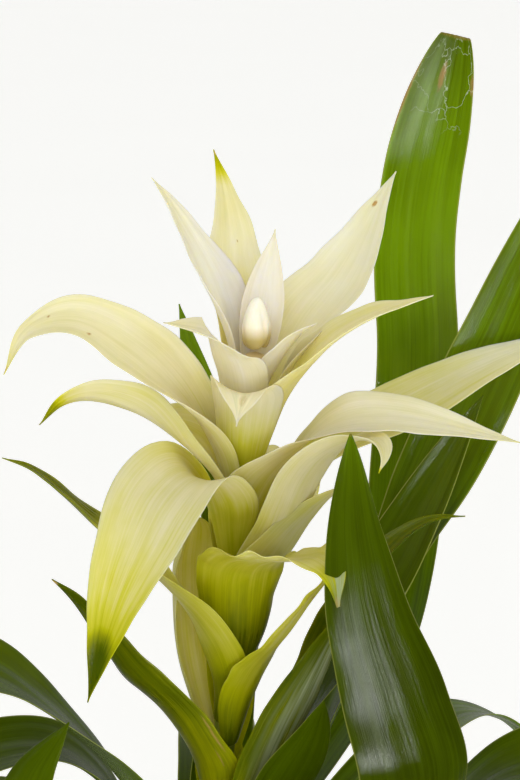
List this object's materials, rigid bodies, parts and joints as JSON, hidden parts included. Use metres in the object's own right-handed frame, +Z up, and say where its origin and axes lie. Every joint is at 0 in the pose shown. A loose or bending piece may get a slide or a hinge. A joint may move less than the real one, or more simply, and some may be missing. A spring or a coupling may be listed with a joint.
{
  "type": "guzmania plant with root ball",
  "caption": "Whole guzmania in flower, lifted from its pot: strap leaves, an upright head of cream and yellow-green bracts on a short stalk, and a flat-bottomed root ball to stand on.",
  "frame": {"origin": "centre of the root ball's flat underside, on the surface that the plant stands on", "axes": "+Z up, -Y towards the side that the picture shows, +X to the right as seen from there"},
  "size_m": [0.4485, 0.4276, 0.5364],
  "materials": {
    "root_ball": "matte",
    "stalk": "satin",
    "bud": "satin",
    "cream_bract": "satin",
    "pale_bract": "satin",
    "green_bract": "satin",
    "leaf": "gloss"
  },
  "bodies": {
    "root": {"root_ball": "root_ball", "flower_stem": "stalk", "front_flower_bud": "bud", "left_flower_bud": "bud", "right_flower_bud": "bud", "inner_bract_01": "cream_bract", "inner_bract_02": "cream_bract", "inner_bract_03": "cream_bract", "inner_bract_04": "cream_bract", "inner_bract_05": "cream_bract", "inner_bract_06": "cream_bract", "inner_bract_07": "cream_bract", "inner_bract_08": "cream_bract", "middle_bract_01": "pale_bract", "middle_bract_02": "pale_bract", "middle_bract_03": "pale_bract", "middle_bract_04": "pale_bract", "middle_bract_05": "pale_bract", "middle_bract_06": "pale_bract", "middle_bract_07": "pale_bract", "middle_bract_08": "pale_bract", "middle_bract_09": "pale_bract", "middle_bract_10": "pale_bract", "lower_bract_01": "green_bract", "lower_bract_02": "green_bract", "lower_bract_03": "green_bract", "lower_bract_04": "green_bract", "lower_bract_05": "green_bract", "lower_bract_06": "green_bract", "lower_bract_07": "green_bract", "lower_bract_08": "green_bract", "lower_bract_09": "green_bract", "lower_bract_10": "green_bract", "lower_bract_11": "green_bract", "rosette_leaf_01": "leaf", "rosette_leaf_02": "leaf", "rosette_leaf_03": "leaf", "rosette_leaf_04": "leaf", "rosette_leaf_05": "leaf", "rosette_leaf_06": "leaf", "rosette_leaf_07": "leaf", "rosette_leaf_08": "leaf", "rosette_leaf_09": "leaf", "rosette_leaf_10": "leaf", "rosette_leaf_11": "leaf", "rosette_leaf_12": "leaf", "rosette_leaf_13": "leaf", "rosette_leaf_14": "leaf", "rosette_leaf_15": "leaf", "rosette_leaf_16": "leaf", "rosette_leaf_17": "leaf", "rosette_leaf_18": "leaf", "rosette_leaf_19": "leaf", "rosette_leaf_20": "leaf", "rosette_leaf_21": "leaf"}
  },
  "joints": []
}
